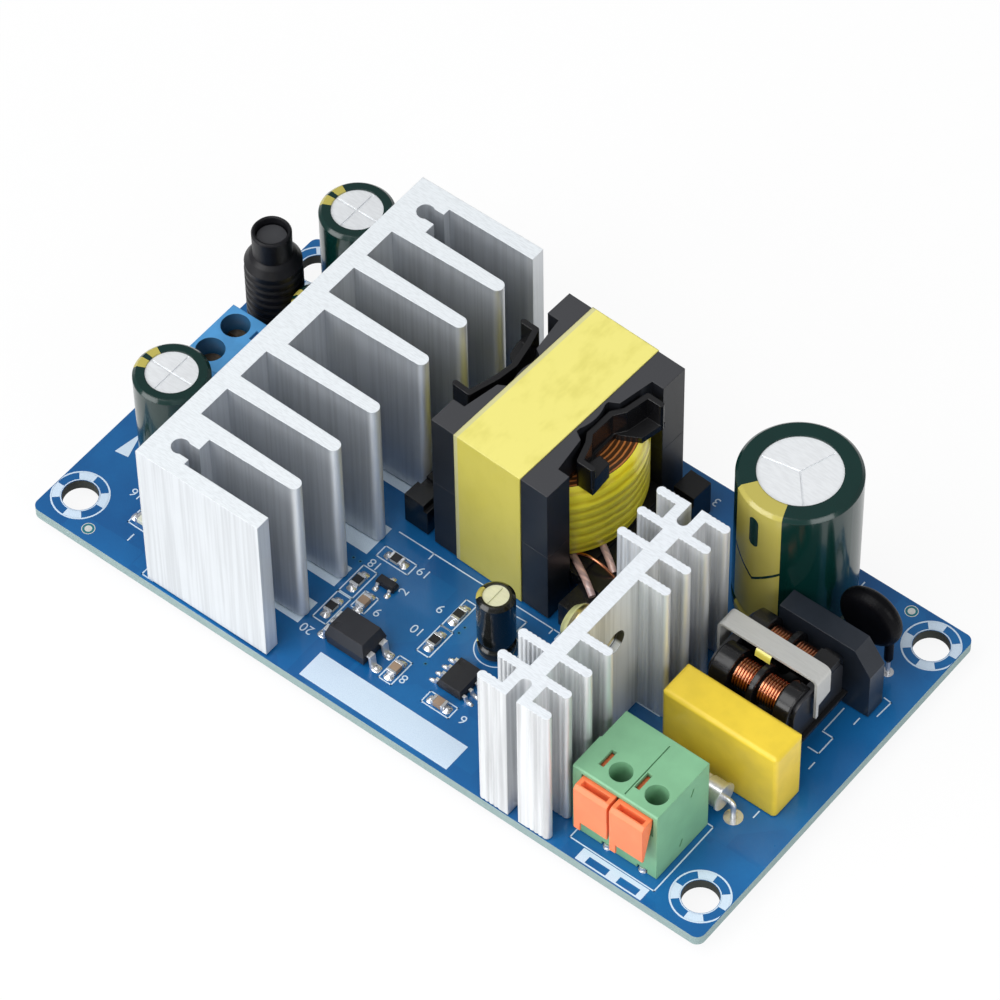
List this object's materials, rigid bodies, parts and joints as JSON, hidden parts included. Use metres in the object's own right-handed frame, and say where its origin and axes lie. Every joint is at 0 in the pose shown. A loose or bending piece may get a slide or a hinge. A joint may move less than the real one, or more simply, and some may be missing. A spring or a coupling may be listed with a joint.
{
  "type": "open frame power supply",
  "caption": "Open frame switch-mode supply: mains spring terminal, filter, transformer and two finned heatsinks on a blue board, with a screw terminal for the low-voltage output.",
  "frame": {"origin": "middle of the four mounting holes, on the underside of the board", "axes": "+X along the board's long edge towards the mains terminal, +Y across the board from the edge with the mains terminal, +Z out of the component side"},
  "size_m": [0.107, 0.057, 0.0299],
  "materials": {
    "board": "glossy blue solder mask",
    "solder": "bright solder",
    "heatsink": "extruded, cut and brushed at the ends",
    "tinned": "tinned",
    "plated_screw": "yellow zinc plated",
    "black_resin": "moulded, satin",
    "ferrite": "ground ferrite",
    "black_moulding": "moulded",
    "winding_tape": "wound film tape",
    "core_tape": "film tape",
    "sleeved_wire": "copper in clear sleeving",
    "can": "drawn can",
    "green_sleeve": "shrunk film",
    "dark_sleeve": "shrunk film",
    "dipped_coating": "dipped",
    "bung": "moulded",
    "shrink_tube": "shrunk tube, satin",
    "copper": "enamelled copper",
    "blue_housing": "moulded",
    "screw_steel": "plated",
    "clamp_brass": "plated",
    "green_housing": "moulded, satin",
    "orange_lever": "moulded, satin",
    "yellow_case": "moulded box",
    "strap_steel": "rolled",
    "disc_coating": "dipped",
    "fuse_ceramic": "glazed tube",
    "chip_dark": "glazed",
    "chip_tan": "fired",
    "lamp": "clear resin"
  },
  "bodies": {
    "supply": {"board": "board", "solder_joints": "solder", "output_heatsink": "heatsink", "primary_heatsink": "heatsink", "heatsink_pins": "tinned", "output_rectifier_body": "black_resin", "output_rectifier_tab": "tinned", "primary_switch_body": "black_resin", "primary_switch_tab": "tinned", "tab_screws": "plated_screw", "transformer_core": "ferrite", "transformer_bobbin": "black_moulding", "transformer_windings": "winding_tape", "transformer_tape": "core_tape", "transformer_pins": "tinned", "transformer_wires": "sleeved_wire", "input_capacitor_can": "can", "input_capacitor_sleeve": "green_sleeve", "output_capacitor_cans": "can", "output_capacitor_sleeves": "green_sleeve", "supply_capacitor_can": "can", "supply_capacitor_sleeve": "dark_sleeve", "dipped_capacitor": "dipped_coating", "capacitor_bungs": "bung", "wire_leads": "tinned", "inductor_sleeve": "shrink_tube", "inductor_core": "ferrite", "inductor_winding": "copper", "output_terminal_housing": "blue_housing", "output_terminal_contacts": "tinned", "input_terminal_housing": "green_housing", "input_terminal_contacts": "tinned", "film_capacitor_case": "yellow_case", "choke_bobbins": "black_moulding", "choke_core": "ferrite", "choke_windings": "copper", "choke_strap": "strap_steel", "choke_pins": "tinned", "bridge_body": "black_resin", "thermistor_disc": "disc_coating", "fuse_tube": "fuse_ceramic", "fuse_caps": "tinned", "controller_body": "black_resin", "controller_leads": "tinned", "optocoupler_body": "black_resin", "optocoupler_leads": "tinned", "reference_body": "black_resin", "reference_leads": "tinned", "chip_resistors": "chip_dark", "chip_capacitors": "chip_tan", "chip_ends": "solder", "status_lamp": "lamp"},
    "output_screw_plus": {"output_terminal_screw_plus": "screw_steel"},
    "output_screw_minus": {"output_terminal_screw_minus": "screw_steel"},
    "output_clamp_plus": {"output_terminal_clamp_plus": "clamp_brass"},
    "output_clamp_minus": {"output_terminal_clamp_minus": "clamp_brass"},
    "lever_line": {"input_terminal_lever_line": "orange_lever"},
    "lever_neutral": {"input_terminal_lever_neutral": "orange_lever"}
  },
  "joints": [
    {"name": "screw_plus_turn", "type": "hinge", "parent": "supply", "child": "output_screw_plus", "pos_m": [-0.0465, 0.00387, 0.0086], "axis": [0, 0, 1], "range_deg": [-1296, 0]},
    {"name": "screw_minus_turn", "type": "hinge", "parent": "supply", "child": "output_screw_minus", "pos_m": [-0.0465, -0.00113, 0.0086], "axis": [0, 0, 1], "range_deg": [-1296, 0]},
    {"name": "clamp_plus_rise", "type": "slide", "parent": "supply", "child": "output_clamp_plus", "axis": [0, 0, 1], "range_m": [0, 0.0018]},
    {"name": "clamp_minus_rise", "type": "slide", "parent": "supply", "child": "output_clamp_minus", "axis": [0, 0, 1], "range_m": [0, 0.0018]},
    {"name": "lever_line_press", "type": "hinge", "parent": "supply", "child": "lever_line", "pos_m": [0.03643, -0.02483, 0.007], "axis": [-1, 0, 0], "range_deg": [0, 5], "stiffness_Nm_per_rad": 0.12, "springref_deg": -5.73},
    {"name": "lever_neutral_press", "type": "hinge", "parent": "supply", "child": "lever_neutral", "pos_m": [0.04187, -0.02483, 0.007], "axis": [-1, 0, 0], "range_deg": [0, 5], "stiffness_Nm_per_rad": 0.12, "springref_deg": -5.73}
  ],
  "couplings": [
    {"joint": "screw_plus_turn", "follows": "clamp_plus_rise", "rad_per_m": -12566},
    {"joint": "screw_minus_turn", "follows": "clamp_minus_rise", "rad_per_m": -12566}
  ]
}
